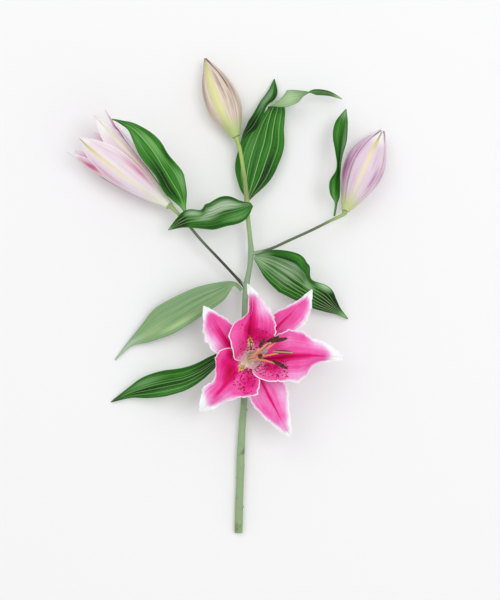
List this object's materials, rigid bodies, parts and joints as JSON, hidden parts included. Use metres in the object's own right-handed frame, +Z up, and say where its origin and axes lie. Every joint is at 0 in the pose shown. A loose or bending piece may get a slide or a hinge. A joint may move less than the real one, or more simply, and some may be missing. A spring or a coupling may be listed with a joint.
{
  "type": "cut lily stem",
  "caption": "Cut lily stem lying on its back, with one open bloom, plump pointed buds on slender stalks, and broad pointed leaves.",
  "frame": {"origin": "centre of the footprint, on the surface that the stem lies on", "axes": "+Y from the cut end of the stem to the top bud, +Z up from the surface and out of the open bloom, +X to the right as the bloom is looked at"},
  "size_m": [0.3432, 0.5187, 0.1085],
  "materials": {
    "stem": "smooth waxy green skin, with leaf scars low down",
    "leaf": "satin dark green upper face with pale parallel veins",
    "leaf_under": "matt pale grey-green underside, shown uppermost",
    "bud_cream": "satin cream petal back with a yellow-green rib",
    "bud_mauve": "satin pale mauve petal back with a yellow rib",
    "bud_pale": "satin white to pink petal back, deep pink inside",
    "petal": "satin pink face with a deep band, a white ruffled rim and raised crimson spots",
    "pollen": "powdery dark brown pollen",
    "filament": "smooth pale orange",
    "pistil": "smooth pale green style with a sticky grey-mauve stigma"
  },
  "bodies": {
    "root": {"stem": "stem", "leaf_left_lower": "leaf", "leaf_left_middle": "leaf_under", "leaf_right_middle": "leaf", "leaf_top_left": "leaf", "leaf_top_large": "leaf", "leaf_top_small": "leaf", "leaf_by_left_bud": "leaf", "leaf_by_right_bud": "leaf", "bud_top": "bud_cream", "bud_right": "bud_mauve", "opening_petal_outer_1": "bud_pale", "opening_petal_outer_2": "bud_pale", "opening_petal_outer_3": "bud_pale", "opening_petal_inner_1": "bud_pale", "opening_petal_inner_2": "bud_pale", "opening_petal_inner_3": "bud_pale", "bloom_petal_top": "petal", "bloom_petal_right": "petal", "bloom_petal_lower": "petal", "bloom_sepal_upper_right": "petal", "bloom_sepal_bottom": "petal", "bloom_sepal_left": "petal", "anther_1": "pollen", "anther_2": "pollen", "anther_3": "pollen", "anther_4": "pollen", "anther_5": "pollen", "anther_6": "pollen", "filament_1": "filament", "filament_2": "filament", "filament_3": "filament", "filament_4": "filament", "filament_5": "filament", "filament_6": "filament", "pistil": "pistil"}
  },
  "joints": []
}
